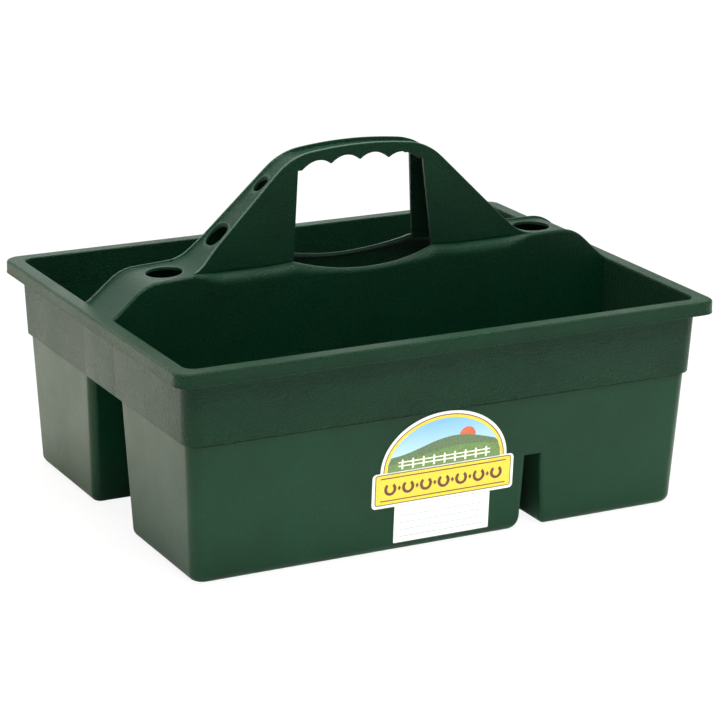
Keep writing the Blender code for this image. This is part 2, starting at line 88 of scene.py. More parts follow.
# Bins below the step
LOWER_INSET = 0.0135
STEP_RECESS = 0.0007
LOWER_DRAFT = 0.051
LOWER_CORNER_RADIUS = 0.0090
SLOT_CORNER_RADIUS = 0.0062
NOTCH_CORNER_RADIUS = 0.0034
BOTTOM_EDGE_RADIUS = 0.0060
NOTCH_BOTTOM_RADIUS = 0.0100
SLOT_HALF_WIDTH_AT_FLOOR = 0.0326
DIVIDER_DRAFT = 0.065
NOTCH_CENTRE = 0.0674
NOTCH_HEIGHT = 0.0545
NOTCH_TOP_WIDTH = 0.0112
NOTCH_LEFT_DRAFT = 0.038
NOTCH_RIGHT_DRAFT = 0.062
# Corners grow tighter as the bottom edge draws in, by this share of it, down to a least radius
CORNER_DRAW_IN = 0.6
LEAST_CORNER_RADIUS = 0.0010

# Side view of the divider's top
SHOULDER_RISE = 0.0235
LEFT_SHOULDER_FALL = 0.0022
RIGHT_FOOT_SET_IN = 0.0020
SHOULDER_FROM_RIM = 0.0248
SHOULDER_LENGTH = 0.0401
SHOULDER_RADIUS = 0.028
HANDLE_FOOT_RADIUS = 0.025
HANDLE_BEND_RADIUS = 0.044
HANDLE_BEND_SET_OUT = 0.0060
CROWN_SLOPE = radians(7.5)
CROWN_RADIUS = 0.295

# Divider's round top edges and the handle's panels
SHOULDER_EDGE_RADIUS = 0.0024
CREASE_EDGE_RADIUS = 0.0077
TAPER_LENGTH = 0.0280
TAPER_BEYOND_FOOT = 0.0190
GRIP_HALF_WIDTH = 0.0096
CREASE_FALL = 0.0022
CREASE_FALL_BEYOND_FOOT = 0.006
CREASE_FALL_RUN = 0.024
CREASE_FALL_AT_OPENING = 0.0011
OPENING_FALL_START = 0.075
OPENING_FALL_RUN = 0.020
CREASE_GROOVE = 0.0007
LEAST_GROOVE = 0.0002
GROOVE_START_RISE = 0.004
GROOVE_FADE = 0.006
# Heights over the crease, in depths of the groove
GROOVE_TOP = 1.2
PANEL_START = 3.0
PANEL_EDGE_RADIUS = 0.0011
BEAD_WIDTH = 0.0019
BEAD_HEIGHT = 0.0012
GRIP_STRIP_SINK = 0.0014
GRIP_STRIP_RUN_OUT = 0.0160

# Hand opening
SCALLOP_PITCH = 0.0225
SCALLOP_COUNT = 4
SCALLOP_CENTRE = -0.0005
SCALLOP_DEPTH = 0.0042
SCALLOP_POINT_DROP = 0.0109
SCALLOP_END_FALL = 0.0036
OPENING_HALF_LENGTH = 0.0473
OPENING_SIDE_SLOPE = 0.089
DISH_DEPTH = 0.0081
DISH_EDGE_RADIUS = 0.0034

# Tool holes: the distance of each from the handle's foot, its half length and its half width
LEFT_SHOULDER_HOLE = (0.0173, 0.0127, 0.0127)
RIGHT_SHOULDER_HOLE = (0.0173, 0.0135, 0.0135)
SLOPE_HOLE = (-0.0223, 0.0070, 0.0090)
TOP_HOLE = (-0.0555, 0.0047, 0.0059)
HOLE_SQUARENESS = 2.5
HOLE_CORE_REACH = 0.008
# A hole's lip is rounded where the cut turns by more than an angle in radians, close to the top,
# and is worn over a span that counts in lip radii from the core
HOLE_LIP_RADIUS = 0.0005
HOLE_LIP_ANGLE = 0.5
HOLE_LIP_DEPTH = 1.6 * BEAD_HEIGHT
HOLE_LIP_SPAN = (-0.1, 1.3)

# How pale the painted highlight on an edge is, as a share: a bead's rows from its outer edge
# inwards, the dished edge and the lips of the holes
BEAD_HIGHLIGHT = {1: 0.3, 2: 1.0, 3: 1.0, 4: 0.7}
DISH_EDGE_HIGHLIGHT = 0.5
HOLE_LIP_HIGHLIGHT = 0.5

# Labels on the front bin
LABEL_STAND_OFF = 0.0003
LABEL_THICKNESS = 0.0002
INK_THICKNESS = 0.00003
LABEL_CENTRE = -0.0025
BAND_BOTTOM = 0.0330
BAND_TOP = 0.0580
BAND_HALF_WIDTH = 0.0540
BAND_CORNER_RADIUS = 0.0030
ARCH_HALF_WIDTH = 0.0482
ARCH_RISE = 0.0380
DIE_CUT_BORDER = 0.0021
TICKET_HALF_WIDTH = 0.0365
TICKET_BOTTOM = 0.0063
TICKET_CORNER_RADIUS = 0.0006

# Artwork of the picture label; heights in the arch count from the top of the band
PRINTED_LINE = 0.0007
ARCH_FRAME = 0.0021
SUN_X, SUN_Z = 0.0170, 0.0185
SUN_RADIUS = 0.0062
# Each skyline is a wave: its height, swing, waves in radians per metre and phase; each row of
# posts or motifs is their number and spacing
FAR_HILL = (0.0150, 0.0048, 62.0, pi / 2 - 0.5)
NEAR_HILL = (0.0085, 0.0040, 48.0, 0.9)
# How far the hills reach, as shares of the arch's half width, and their gap to its edge
HILL_FOOT = 0.995
HILL_REACH = 0.985
HILL_GAP = 0.0002
RAIL = ((0.0350, 0.0), (0.0350, 0.0009), (-0.0350, 0.0009), (-0.0350, 0.0))
RAIL_HEIGHTS = (0.0032, 0.0058)
POST = ((0.0007, 0.0012), (0.0007, 0.0078), (0.0, 0.0086), (-0.0007, 0.0078), (-0.0007, 0.0012))
POST_ROW = (9, 0.0080)
BAND_LINE = 0.0006
BAND_TOP_BORDER = 0.4 * DIE_CUT_BORDER
STRIPE_WIDTH = 0.0008
STRIPE_END = 0.0040
STRIPES_SET_IN = (0.0026, 0.0034)
BAND_CORNER_RADII = (0.0016, 0.0012)
STRIPE_CORNER_RADIUS = 0.0003
HORSESHOE_RADIUS = 0.0047
HORSESHOE_LIFT = 0.0001
HORSESHOE_ENDS = (-235, 55)
HORSESHOE_INSIDE = (0.52, 0.58)
HORSESHOE_ROW = (7, 0.0135)
DIAMOND = ((0.0013, 0.0), (0.0, 0.0019), (-0.0013, 0.0), (0.0, -0.0019))
DIAMOND_ROW = (6, 0.0135)

# Ruled lines of the ticket
RULED_LINE_HEIGHTS = (0.0040, 0.0090, 0.0140, 0.0190)
RULED_LINE_WIDTH = 0.0004
RULED_LINE_END = 0.0045
RULED_LINE_CORNER_RADIUS = 0.0001

# How finely round stretches are divided
CORNER_STEPS = 7
FILLET_STEPS = 14
SCALLOP_STEPS = 14
STRIP_CORNER_STEPS = 5
ARCH_STEPS = 48
SUN_STEPS = 28
HILL_STEPS = 40
HORSESHOE_STEPS = 12
HOLE_STEPS = 40

# Rows of one half of the handle's skin, from the step up to the middle of its top
WALL_ROWS = 5
ROUND_ROWS = 9
GROOVE_ROWS = 3
LOWER_PANEL_ROWS = 8
UPPER_PANEL_ROWS = 4
EDGE_ROWS = 4
CREST_ROW = WALL_ROWS + ROUND_ROWS - 1
SCALLOP_ROW = CREST_ROW + GROOVE_ROWS + LOWER_PANEL_ROWS
BEAD_ROW = SCALLOP_ROW + UPPER_PANEL_ROWS
# The bead's inner side, as shares of its height across and of the strip's sink down, and the
# strip between the beads, as shares of its half width
BEAD_SIDE = ((0.0, 0.0), (0.25, 0.10), (0.50, 0.45), (0.70, 0.85), (0.95, 1.0))
STRIP_ROWS = (0.88, 0.74, 0.58, 0.40, 0.20, 0.0)

# Stations along the handle's slopes and shoulders; beside the opening they lean with its sides
STATION_SPACING = 0.0024
LEAST_SPACING = 0.0009
OPENING_CLEARANCE = 0.0015
SLOPE_BREAK = 0.0660
FOOT_BREAKS = (0.030, 0.014)
LEAN_RUN = 0.0160

# Tolerances of the modelling
TOUCHING = 1e-5
SAME_POINT = 1e-6
SLIVER = 1e-5
LEVEL_OFFSET = 2e-5
ON_CORE = 0.004
SMOOTH_ANGLE = radians(32)

# What the vertices keep: the number of their outline, and how pale their painted highlight is
OUTLINE = "outline_number"
PAINTED_HIGHLIGHT = "painted_highlight"


# Materials

def linear(hex_colour):
    """An sRGB hex colour as linear red, green, blue and alpha."""
    channels = []
    for start in (0, 2, 4):
        value = int(hex_colour[start:start + 2], 16) / 255
        if value <= 0.04045:
            channels.append(value / 12.92)
        else:
            channels.append(((value + 0.055) / 1.055) ** 2.4)
    return (*channels, 1.0)


def feed(target, inputs):
    """Set a value or link a socket on each named or numbered input of a node."""
    for name, value in inputs.items():
        if isinstance(value, bpy.types.NodeSocket):
            target.id_data.links.new(value, target.inputs[name])
        else:
            target.inputs[name].default_value = value


def node(tree, kind, inputs, **settings):
    """Add a node with its settings, and feed its inputs."""
    added = tree.nodes.new("ShaderNode" + kind)
    for name, value in settings.items():
        setattr(added, name, value)
    feed(added, inputs)
    return added


def new_material(name, colour, roughness, ior):
    """A material with its shader, and the object's coordinates for its patterns."""
    material = bpy.data.materials.new(name)
    material.use_nodes = True
    material.diffuse_color = linear(colour)
    tree = material.node_tree
    shader = tree.nodes["Principled BSDF"]
    feed(shader, {"Base Color": linear(colour), "Roughness": roughness, "IOR": ior})
    return material, tree, shader, node(tree, "TexCoord", {}).outputs["Object"]


def colour_steps(tree, source, steps):
    """A ramp from a pattern's value to colours or greys, as (position, hex) steps."""
    ramp = node(tree, "ValToRGB", {"Fac": source})
    elements = ramp.color_ramp.elements
    while len(elements) < len(steps):
        elements.new(0.5)
    for element, (position, colour) in zip(elements, steps):
        element.position = position
        element.color = linear(colour)
    return ramp.outputs["Color"]


def noise(tree, place, scale, detail, **inputs):
    """A noise pattern in the object's own coordinates."""
    pattern = node(tree, "TexNoise", {"Vector": place, "Scale": scale, "Detail": detail})
    feed(pattern, inputs)
    return pattern.outputs["Fac"]


def relief(tree, height, strength, distance):
    """Relief on the surface, from a pattern's value."""
    bump = node(tree, "Bump", {"Height": height, "Strength": strength, "Distance": distance})
    return bump.outputs["Normal"]


def moulded_polyethylene(name, grain_depth, speck_share, mirror_level, dusty_share,
                         highlight_share=0.0):
    """High-density polyethylene, injection moulded in a fine spark-eroded mould.

    It is a deep green that stays slightly waxy: a broad soft gloss and a fine grain that breaks
    it up. Its edges can take a painted highlight, a pale colour where they would catch the light.
    """
    material, tree, shader, place = new_material(name, "032e1c", 0.37, 1.51)
    # The pigment swirls a little as it fills the mould, over about 40 mm
    swirl = noise(tree, place, 25.0, 3.0, Roughness=0.55, Distortion=0.6)
    pigment = colour_steps(tree, swirl, ((0.30, "022d1b"), (0.70, "033420")))
    # Spark grain is 0.1 to 0.2 mm across, drawn at 1 mm so that the render shows it
    grain = noise(tree, place, 1000.0, 1.0, Roughness=0.6)
    speck = colour_steps(tree, grain, ((0.32, "9a9a9a"), (0.66, "ffffff")))
    colour = node(tree, "Mix", {"Factor": speck_share, "A": pigment, "B": speck},
                  data_type="RGBA", blend_type="MULTIPLY").outputs["Result"]
    if highlight_share:
        # Painted highlight: edges are painted pale where they would catch the light; the mesh
        # says where
        edge = node(tree, "Attribute", {}, attribute_name=PAINTED_HIGHLIGHT)
        painted_highlight = node(tree, "Math", {0: edge.outputs["Fac"], 1: highlight_share},
                      operation="MULTIPLY")
        colour = node(tree, "Mix", {"Factor": painted_highlight.outputs["Value"], "A": colour,
                                    "B": linear("6f8c7e")}, data_type="RGBA").outputs["Result"]
    # Handling leaves smoother and duller patches, about 60 mm across
    handled = noise(tree, place, 16.0, 4.0, Roughness=0.6)
    gloss = node(tree, "MapRange", {"Value": handled, "From Min": 0.3, "From Max": 0.7,
                                    "To Min": 0.32, "To Max": 0.42})
    feed(shader, {"Base Color": colour, "Roughness": gloss.outputs["Result"],
                  "Normal": relief(tree, grain, 1.0, grain_depth)})
    # The grain scatters most of the mirror reflection that polished polyethylene would give, and
    # the green under the surface tints the rest a little
    feed(shader, {"Specular IOR Level": mirror_level, "Specular Tint": linear("f6ffec")})
    # Seen at a low angle the fine grain looks dusty, so it is paler there
    feed(shader, {"Sheen Weight": dusty_share, "Sheen Roughness": 0.4,
                  "Sheen Tint": linear("d8f0c0")})
    return material


def label_paper(name, colour):
    """Coated label paper: clay-coated, calendered and varnished, smooth with a soft sheen."""
    material, tree, shader, place = new_material(name, colour, 0.38, 1.48)
    # The sheet cockles slightly over about 12 mm as its glue sets
    cockle = noise(tree, place, 80.0, 1.0)
    feed(shader, {"Normal": relief(tree, cockle, 0.15, 0.0004)})
    return material


def printed_ink(name, dark, light):
    """Offset ink on the coated paper: a screened print, so its tone is broken up very finely."""
    material, tree, shader, place = new_material(name, light, 0.36, 1.50)
    # Screen dots are 0.15 mm apart, drawn at 0.7 mm so that they still show
    screen = noise(tree, place, 1400.0, 1.0, Roughness=0.5)
    feed(shader, {"Base Color": colour_steps(tree, screen, ((0.35, dark), (0.65, light)))})
    return material


def sky_ink():
    """Offset ink that fades from a pale skyline to a deeper blue at the top of the arch."""
    material, tree, shader, place = new_material("sky_blue_ink", "8fbfe8", 0.36, 1.50)
    height = node(tree, "SeparateXYZ", {"Vector": place})
    fade = node(tree, "MapRange", {"Value": height.outputs["Z"], "From Min": BAND_TOP,
                                   "From Max": BAND_TOP + ARCH_RISE})
    tone = colour_steps(tree, fade.outputs["Result"], ((0.0, "c9e2f2"), (1.0, "5fa3e0")))
    feed(shader, {"Base Color": tone})
    return material


# Modelling by hand, in edit mode

def add_object(name, data):
    added = bpy.data.objects.new(name, data)
    bpy.context.scene.collection.objects.link(added)
    return added


def take_in_hand(piece):
    """Select one piece alone and make it the active one."""
    bpy.ops.object.select_all(action="DESELECT")
    piece.select_set(True)
    bpy.context.view_layer.objects.active = piece


def enter_edit_mode(piece):
    """Open a piece in edit mode, with a layer for the numbers of its outlines."""
    take_in_hand(piece)
    bpy.ops.object.mode_set(mode="EDIT")
    bmesh.from_edit_mesh(piece.data).verts.layers.int.new(OUTLINE)
    bmesh.update_edit_mesh(piece.data)


def begin_piece(name):
    """Start an empty piece in edit mode."""
    piece = add_object(name, bpy.data.meshes.new(name))
    enter_edit_mode(piece)
    return piece


def select_all(kind, action="SELECT"):
    bpy.ops.mesh.select_mode(type=kind)
    bpy.ops.mesh.select_all(action=action)


def select_where(kind, test):
    """Select the vertices or edges of the piece in hand that pass a test."""
    mesh = bpy.context.edit_object.data
    select_all(kind, "DESELECT")
    bm = bmesh.from_edit_mesh(mesh)
    numbers = bm.verts.layers.int[OUTLINE]
    for item in bm.verts if kind == "VERT" else bm.edges:
        if test(item, numbers):
            item.select_set(True)
    bm.select_flush_mode()
    bmesh.update_edit_mesh(mesh)


def add_outline(number, x_range, y_range, z, radii):
    """Add a numbered rectangle whose corners are bevelled round, from its low left one on."""
    (x0, x1), (y0, y1) = x_range, y_range
    centre = ((x0 + x1) / 2, (y0 + y1) / 2, z)
    select_all("VERT", "DESELECT")
    bpy.ops.mesh.primitive_plane_add(size=1.0, location=centre)
    bpy.ops.transform.resize(value=(x1 - x0, y1 - y0, 1.0), center_override=centre)
    for x, y, radius in zip((x0, x1, x1, x0), (y0, y0, y1, y1), radii):
        corner = Vector((x, y, z))
        select_where("VERT", lambda v, n: v[n] == 0 and (v.co - corner).length < TOUCHING)
        bpy.ops.mesh.bevel(affect="VERTICES", offset=radius, segments=CORNER_STEPS, profile=0.5)
    bpy.ops.mesh.select_linked()
    mesh = bpy.context.edit_object.data
    bm = bmesh.from_edit_mesh(mesh)
    numbers = bm.verts.layers.int[OUTLINE]
    for vertex in bm.verts:
        if vertex.select:
            vertex[numbers] = number
    bmesh.update_edit_mesh(mesh)
    bpy.ops.mesh.delete(type="ONLY_FACE")


def select_outlines(*wanted):
    select_where("EDGE", lambda e, n: e.verts[0][n] == e.verts[1][n] and e.verts[0][n] in wanted)


def bridge(first, second):
    """Bridge two numbered outlines with a band of faces."""
    select_outlines(first, second)
    bpy.ops.mesh.bridge_edge_loops()


def leave_edit_mode(piece):
    """Leave edit mode and drop the outlines' numbers."""
    bpy.ops.object.mode_set(mode="OBJECT")
    piece.data.attributes.remove(piece.data.attributes[OUTLINE])


def close_mesh(piece):
    """Merge doubles, point the faces outwards and leave edit mode."""
    select_all("VERT")
    bpy.ops.mesh.remove_doubles(threshold=SAME_POINT)
    bpy.ops.mesh.normals_make_consistent(inside=False)
    leave_edit_mode(piece)


def apply_modifier(piece, kind, **settings):
    """Add a modifier with its settings and apply it."""
    take_in_hand(piece)
    modifier = piece.modifiers.new(kind.lower(), kind)
    for name, value in settings.items():
        setattr(modifier, name, value)
    bpy.ops.object.modifier_apply(modifier=modifier.name)


def give_thickness(piece):
    """Thicken a skin inwards to the wall of the moulding."""
    apply_modifier(piece, "SOLIDIFY", thickness=WALL, offset=-1.0, use_even_offset=True,
                   use_quality_normals=True)


def finish_moulding(piece, material, replaced):
    """Shade the piece, give it its material, attach it to the root and hide the CAD nodes it
    stands for.
    """
    take_in_hand(piece)
    bpy.ops.object.shade_smooth_by_angle(angle=SMOOTH_ANGLE)
    apply_modifier(piece, "WEIGHTED_NORMAL", keep_sharp=True, weight=60)
    piece.data.materials.clear()
    piece.data.materials.append(material)
    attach(piece, "root")
    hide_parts(*replaced)


# Drafted faces of the moulding

def upper_inset(z):
    return UPPER_INSET - UPPER_DRAFT * (z - STEP_HEIGHT)


def lower_inset(z):
    return LOWER_INSET + LOWER_DRAFT * (STEP_HEIGHT - z)


def slot_half_width(z):
    return SLOT_HALF_WIDTH_AT_FLOOR - DIVIDER_DRAFT * z


def divider_outer(z):
    return slot_half_width(z) + WALL


def notch_reach(z, end):
    draft = NOTCH_LEFT_DRAFT if end < 0 else NOTCH_RIGHT_DRAFT
    return NOTCH_TOP_WIDTH / 2 + draft * (NOTCH_HEIGHT - z)


def quarter(steps):
    return [0.5 * pi * i / steps for i in range(steps + 1)]


# Rim and upper wall

def make_ring(name, section, material, replaced):
    """A ring round the tote, bridged from outline to outline; section is (inset, z, radius)."""
    piece = begin_piece(name)
    for number, (inset, z, radius) in enumerate(section, start=1):
        half_x, half_y = HALF_LENGTH - inset, HALF_WIDTH - inset
        # Level outlines bridge crosswise, so every second one is raised by a hair
        level = z + LEVEL_OFFSET * (number % 2)
        add_outline(number, (-half_x, half_x), (-half_y, half_y), level, [radius] * 4)
    for number in range(1, len(section)):
        bridge(number, number + 1)
    bridge(len(section), 1)
    close_mesh(piece)
    finish_moulding(piece, material, replaced)
    return piece


def make_rim(material):
    bottom = RIM_HEIGHT - SKIRT_DEPTH
    under = RIM_HEIGHT - WALL
    inner = upper_inset(under) + WALL
    growth = (UPPER_CORNER_RADIUS - WALL - RIM_CORNER_RADIUS) / inner
    section = [(SKIRT_LIP, bottom), (0.0, bottom + SKIRT_LIP / 2), (0.0, bottom + 2 * SKIRT_LIP),
               (SKIRT_LIP / 3, bottom + 3 * SKIRT_LIP)]
    for angle in quarter(5):
        section.append((SKIRT_LIP / 3 + RIM_EDGE_RADIUS * (1 - cos(angle)),
                        RIM_HEIGHT - RIM_EDGE_RADIUS * (1 - sin(angle))))
    for angle in quarter(4):
        section.append((inner - RIM_INNER_EDGE_RADIUS * (1 - sin(angle)),
                        RIM_HEIGHT - RIM_INNER_EDGE_RADIUS * (1 - cos(angle))))
    section += [(inner, under), (WALL, under), (WALL, bottom)]
    loops = [(inset, z, RIM_CORNER_RADIUS + growth * inset) for inset, z in section]
    make_ring("rim_flange", loops, material, ["rim"])


def make_upper_wall(material):
    top = RIM_HEIGHT - WALL
    ledge_top = STEP_HEIGHT + WALL
    ledge_inner = LOWER_INSET + WALL
    outer = UPPER_CORNER_RADIUS
    section = [(ledge_inner, STEP_HEIGHT, LOWER_CORNER_RADIUS - WALL)]
    for angle in quarter(4):
        section.append((UPPER_INSET + STEP_EDGE_RADIUS * (1 - sin(angle)),
                        STEP_HEIGHT + STEP_EDGE_RADIUS * (1 - cos(angle)), outer))
    section += [(upper_inset(top), top, outer),
                (upper_inset(top) + WALL, top, outer - WALL),
                (upper_inset(ledge_top) + WALL, ledge_top, outer - WALL),
                (ledge_inner, ledge_top, LOWER_CORNER_RADIUS - WALL)]
    press_sink_marks(make_ring("upper_wall_band", section, material, ["upper_wall"]))


def press_sink_marks(band):
    """Faint upright lines on both ends, where the divider's walls cool behind the skin."""
    enter_edit_mode(band)
    end_skin = HALF_LENGTH - UPPER_INSET - SINK_MARK_REACH
    for side in (-1, 1):
        centre = side * divider_outer(SINK_MARK_LEVEL)
        for offset in (-SINK_MARK_WIDTH, 0.0, SINK_MARK_WIDTH):
            bpy.ops.mesh.select_all(action="SELECT")
            bpy.ops.mesh.bisect(plane_co=(0.0, centre + offset, 0.0), plane_no=(0.0, 1.0, 0.0))
        for end in (-1, 1):
            select_where("VERT", lambda v, n: abs(v.co.y - centre) < TOUCHING
                         and end * v.co.x > end_skin)
            bpy.ops.transform.translate(value=(-end * SINK_MARK_DEPTH, 0.0, 0.0))
    close_mesh(band)


# Bins

def round_in(z, radius):
    """How far a bottom edge of that radius draws in at height z."""
    if z >= radius:
        return 0.0
    return radius - sqrt(radius * radius - (radius - z) ** 2)


def add_well_outline(number, side, end, z):
    """Add one well's outline; side is -1 front or +1 rear, end is -1 left or +1 right."""
    in_wall = round_in(z, BOTTOM_EDGE_RADIUS)
    in_notch = round_in(z, NOTCH_BOTTOM_RADIUS if end < 0 else BOTTOM_EDGE_RADIUS)
    near = slot_half_width(z) + in_wall
    far = HALF_WIDTH - lower_inset(z) - in_wall
    outer_x = end * (HALF_LENGTH - lower_inset(z) - in_wall)
    notch_x = NOTCH_CENTRE + end * (notch_reach(z, end) + in_notch)
    radii = []
    for at_x, at_y in ((-1, -1), (1, -1), (1, 1), (-1, 1)):
        radius = LOWER_CORNER_RADIUS if at_y == side else SLOT_CORNER_RADIUS
        if at_x != end:
            radius = NOTCH_CORNER_RADIUS
        radii.append(max(radius - CORNER_DRAW_IN * in_wall, LEAST_CORNER_RADIUS))
    add_outline(number, sorted((outer_x, notch_x)), sorted((side * near, side * far)), z, radii)


def pivot_and_scale(old, new):
    """The pivot and scale that turn one range into another."""
    scale = (new[1] - new[0]) / (old[1] - old[0])
    return (new[0] - scale * old[0]) / (1 - scale), scale


def make_bin(side, material):
    """One compartment with its two wells and the lid over its cross notch."""
    name = "front" if side < 0 else "rear"
    piece = begin_piece(f"{name}_bin")
    levels = [NOTCH_BOTTOM_RADIUS * (1 - cos(angle)) for angle in quarter(9)]
    levels.append(NOTCH_HEIGHT)
    tops = []
    for end, first in ((-1, 1), (1, 101)):
        for step, z in enumerate(levels):
            add_well_outline(first + step, side, end, z)
        for step in range(len(levels) - 1):
            bridge(first + step, first + step + 1)
        select_outlines(first)
        bpy.ops.mesh.edge_face_add()
        tops.append(first + len(levels) - 1)

    def at_notch(vertex, numbers):
        reach = NOTCH_TOP_WIDTH / 2 + NOTCH_CORNER_RADIUS
        return (vertex[numbers] in tops
                and abs(vertex.co.x - NOTCH_CENTRE) < reach + TOUCHING)

    # The notch's lid: an edge across each mouth, then one face between the wells
    for mouth in (-1, 1):
        reach = slot_half_width(NOTCH_HEIGHT)
        if mouth == side:
            reach = HALF_WIDTH - lower_inset(NOTCH_HEIGHT)
        select_where("VERT", lambda v, n: at_notch(v, n) and abs(abs(v.co.y) - reach) < TOUCHING)
        bpy.ops.mesh.edge_face_add()
    select_where("EDGE", lambda e, n: len(e.link_faces) < 2
                 and all(at_notch(v, n) for v in e.verts))
    bpy.ops.mesh.edge_face_add()

    # The compartment rises from the wells' common outline and draws in just under the step
    select_all("EDGE", "DESELECT")
    bpy.ops.mesh.select_non_manifold(extend=False, use_wire=False, use_boundary=True,
                                     use_multi_face=False, use_non_contiguous=False,
                                     use_verts=False)
    stages = ((NOTCH_HEIGHT, 0.0), (STEP_HEIGHT - 1.5 * STEP_RECESS, 0.0),
              (STEP_HEIGHT - STEP_RECESS, STEP_RECESS), (STEP_HEIGHT, STEP_RECESS))

    def ranges(z, recess):
        inset = lower_inset(z) + recess
        return ((inset - HALF_LENGTH, HALF_LENGTH - inset),
                (side * slot_half_width(z), side * (HALF_WIDTH - inset)))

    for low, high in zip(stages, stages[1:]):
        move = {"value": (0.0, 0.0, high[0] - low[0])}
        bpy.ops.mesh.extrude_region_move(TRANSFORM_OT_translate=move)
        (pivot_x, scale_x), (pivot_y, scale_y) = map(pivot_and_scale, ranges(*low), ranges(*high))
        bpy.ops.transform.resize(value=(scale_x, scale_y, 1.0),
                                 center_override=(pivot_x, pivot_y, high[0]))
    close_mesh(piece)
    give_thickness(piece)
    parts = ("compartment_wall", "cross_bridge", "left_well", "right_well")
    finish_moulding(piece, material, [f"{name}_{part}" for part in parts])


# Handle and divider. They are lofted from drawn sections, because the round top edges change
# their width along the tote and the hand opening lies inside the skin.

CREASE_HEIGHT = RIM_HEIGHT + SHOULDER_RISE
RIM_INNER_X = HALF_LENGTH - upper_inset(RIM_HEIGHT - WALL) - WALL
FOOT_X = RIM_INNER_X - SHOULDER_FROM_RIM - SHOULDER_LENGTH
BEND_X = OPENING_HALF_LENGTH + HANDLE_BEND_SET_OUT
CROWN_VERTEX = TOTAL_HEIGHT + CROWN_RADIUS * (1 / cos(CROWN_SLOPE) - 1)
BEND_HEIGHT = CROWN_VERTEX - tan(CROWN_SLOPE) * BEND_X
SCALLOP_REACH = SCALLOP_PITCH * SCALLOP_COUNT / 2
SCALLOP_END_HEIGHT = TOTAL_HEIGHT - SCALLOP_POINT_DROP - SCALLOP_END_FALL


def opening_edge(z):
    """Half length of the hand opening at a height; its sides lean out downwards."""
    return OPENING_HALF_LENGTH + OPENING_SIDE_SLOPE * (TOTAL_HEIGHT - z)


def fillet_polyline(vertices):
    """Points along straight runs joined by arcs; each vertex is (x, z, radius)."""
    points = [Vector(vertices[0][:2])]
    for before, corner, after in zip(vertices, vertices[1:], vertices[2:]):
        here, radius = Vector(corner[:2]), corner[2]
        to_before = (Vector(before[:2]) - here).normalized()
        to_after = (Vector(after[:2]) - here).normalized()
        half_angle = to_before.angle(to_after) / 2
        centre = here + (to_before + to_after).normalized() * (radius / sin(half_angle))
        start = here + to_before * (radius / tan(half_angle)) - centre
        end = here + to_after * (radius / tan(half_angle)) - centre
        for i in range(FILLET_STEPS + 1):
            way = start.slerp(end, i / FILLET_STEPS).normalized()
            points.append(centre + way * radius)
    points.append(Vector(vertices[-1][:2]))
    return points


def half_profile(shoulder_fall, foot_set_in):
    """Top edge of one half in the side view, from the rim to just past the crown."""
    return fillet_polyline([
        (RIM_INNER_X, RIM_HEIGHT, 0.0),
        (RIM_INNER_X - SHOULDER_FROM_RIM, CREASE_HEIGHT - shoulder_fall, SHOULDER_RADIUS),
        (FOOT_X - foot_set_in, CREASE_HEIGHT, HANDLE_FOOT_RADIUS),
        (BEND_X, BEND_HEIGHT, HANDLE_BEND_RADIUS),
        (0.0, CROWN_VERTEX, CROWN_RADIUS),
        (-BEND_X, BEND_HEIGHT, 0.0)])


LEFT_PROFILE = half_profile(LEFT_SHOULDER_FALL, 0.0)
RIGHT_PROFILE = half_profile(0.0, RIGHT_FOOT_SET_IN)


def profile_height(x):
    """Height of the top edge in the side view."""
    profile = LEFT_PROFILE if x < 0 else RIGHT_PROFILE
    x = abs(x)
    if x >= profile[0].x:
        return profile[0].y
    for a, b in zip(profile, profile[1:]):
        if b.x <= x <= a.x:
            return a.y + (a.x - x) / (a.x - b.x) * (b.y - a.y)
    return profile[-1].y


def eased(share):
    """A share from 0 to 1 that starts and ends gently."""
    share = min(max(share, 0.0), 1.0)
    return share * share * (3 - 2 * share)


def crease_line(x):
    """Height of the crease under the panels, which sinks a little from the shoulder inwards."""
    past_foot = FOOT_X + CREASE_FALL_BEYOND_FOOT - abs(x)
    fall = CREASE_FALL * eased(past_foot / CREASE_FALL_RUN)
    near_opening = eased((OPENING_FALL_START - abs(x)) / OPENING_FALL_RUN)
    fall += near_opening * (CREASE_FALL_AT_OPENING - CREASE_FALL)
    return CREASE_HEIGHT - fall


def dish_height(x):
    """Height of the dished lower edge of the hand opening, an arc over its width."""
    half = opening_edge(CREASE_HEIGHT)
    radius = (half * half + DISH_DEPTH * DISH_DEPTH) / (2 * DISH_DEPTH)
    arc = radius - sqrt(radius ** 2 - min(abs(x), half) ** 2)
    return crease_line(half) - DISH_DEPTH + arc


def scallop_height(x):
    """Height of the grip's lower edge: shallow arcs between points."""
    x -= SCALLOP_CENTRE
    share = min(abs(x) / SCALLOP_REACH, 1.0)
    points_line = TOTAL_HEIGHT - SCALLOP_POINT_DROP - SCALLOP_END_FALL * share * share
    if abs(x) >= SCALLOP_REACH:
        return points_line
    along = (abs(x) / SCALLOP_PITCH) % 1.0
    return points_line + SCALLOP_DEPTH * (1 - (2 * along - 1) ** 2)


def wall_edge_radius(x):
    """Radius that rounds the divider wall over to the strip, the panel or the dished edge."""
    start = FOOT_X - TAPER_BEYOND_FOOT + TAPER_LENGTH
    share = eased((start - abs(x)) / TAPER_LENGTH)
    radius = SHOULDER_EDGE_RADIUS + share * (CREASE_EDGE_RADIUS - SHOULDER_EDGE_RADIUS)
    fall = eased((crease_line(0.0) - dish_height(x)) / DISH_DEPTH)
    return radius + fall * (DISH_EDGE_RADIUS - radius)


